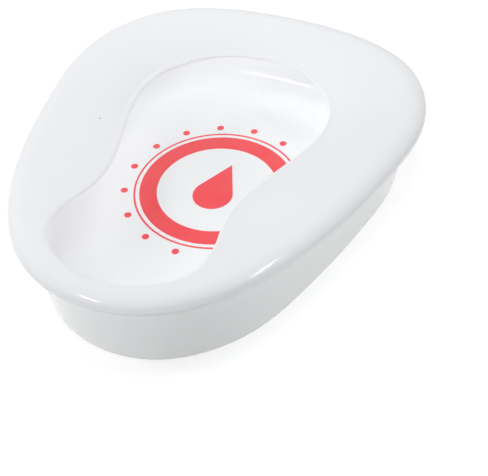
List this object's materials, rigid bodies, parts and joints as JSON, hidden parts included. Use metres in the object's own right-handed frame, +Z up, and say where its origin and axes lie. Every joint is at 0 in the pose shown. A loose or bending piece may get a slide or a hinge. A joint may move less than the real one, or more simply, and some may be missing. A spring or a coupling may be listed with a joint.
{
  "type": "bedpan",
  "caption": "White plastic adult bedpan: a drafted basin with a red printed mark on its floor, under a wide keyhole seat with a rolled rim.",
  "frame": {"origin": "middle of the standing plane, at the centre of the bounding box's bottom face", "axes": "+Z up, +Y towards the wide rear end, -Y towards the narrow front end, X across; X = 0 is the plane of symmetry"},
  "size_m": [0.309, 0.38, 0.0815],
  "materials": {
    "basin_plastic": "glossy moulded white",
    "seat_plastic": "glossy moulded white",
    "red_print": "flat red pad print"
  },
  "bodies": {
    "root": {"basin": "basin_plastic", "seat": "seat_plastic", "printed_mark": "red_print"}
  },
  "joints": []
}
